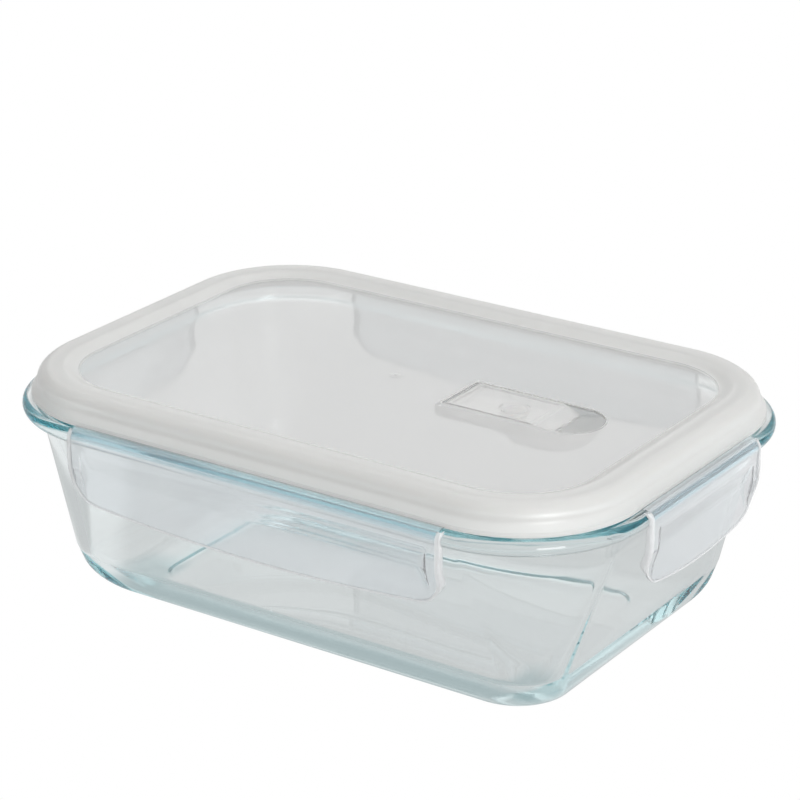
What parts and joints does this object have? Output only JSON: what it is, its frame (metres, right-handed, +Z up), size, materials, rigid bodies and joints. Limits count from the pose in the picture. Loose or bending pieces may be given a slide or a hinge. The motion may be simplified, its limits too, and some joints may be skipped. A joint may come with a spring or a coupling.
{
  "type": "snap lid food container",
  "caption": "Rectangular glass food container with a clip-on plastic lid: hinged latches on all sides, a silicone seal and a flip-up steam vent.",
  "frame": {"origin": "middle of the flat foot under the bowl, on the surface the container stands on", "axes": "+X along the long side towards the vent's finger scoop, +Y along the short side, +Z up"},
  "size_m": [0.2328, 0.1658, 0.0789],
  "materials": {
    "glass": "clear, smooth, faint green-blue edge tint",
    "frosted_pp": "milky translucent, soft sheen",
    "clear_pp": "hazy clear, soft gloss",
    "silicone": "translucent, matte"
  },
  "bodies": {
    "bowl": {"glass_bowl": "glass"},
    "lid": {"lid": "frosted_pp", "lid_gasket": "silicone"},
    "latch_front": {"latch_front": "clear_pp"},
    "latch_rear": {"latch_rear": "clear_pp"},
    "latch_left": {"latch_left": "clear_pp"},
    "latch_right": {"latch_right": "clear_pp"},
    "vent_flap": {"vent_flap": "clear_pp", "vent_plug": "silicone"}
  },
  "joints": [
    {"name": "lid_lift", "type": "slide", "parent": "bowl", "child": "lid", "axis": [0, 0, 1], "range_m": [0, 0.06]},
    {"name": "latch_front_hinge", "type": "hinge", "parent": "lid", "child": "latch_front", "pos_m": [0, -0.0781, 0.0699], "axis": [-1, 0, 0], "range_deg": [0, 130]},
    {"name": "latch_rear_hinge", "type": "hinge", "parent": "lid", "child": "latch_rear", "pos_m": [0, 0.0781, 0.0699], "axis": [1, 0, 0], "range_deg": [0, 130]},
    {"name": "latch_left_hinge", "type": "hinge", "parent": "lid", "child": "latch_left", "pos_m": [-0.1116, 0, 0.0699], "axis": [0, 1, 0], "range_deg": [0, 130]},
    {"name": "latch_right_hinge", "type": "hinge", "parent": "lid", "child": "latch_right", "pos_m": [0.1116, 0, 0.0699], "axis": [0, -1, 0], "range_deg": [0, 130]},
    {"name": "vent_flap_hinge", "type": "hinge", "parent": "lid", "child": "vent_flap", "pos_m": [0.0269, 0, 0.075], "axis": [0, -1, 0], "range_deg": [0, 90]}
  ]
}
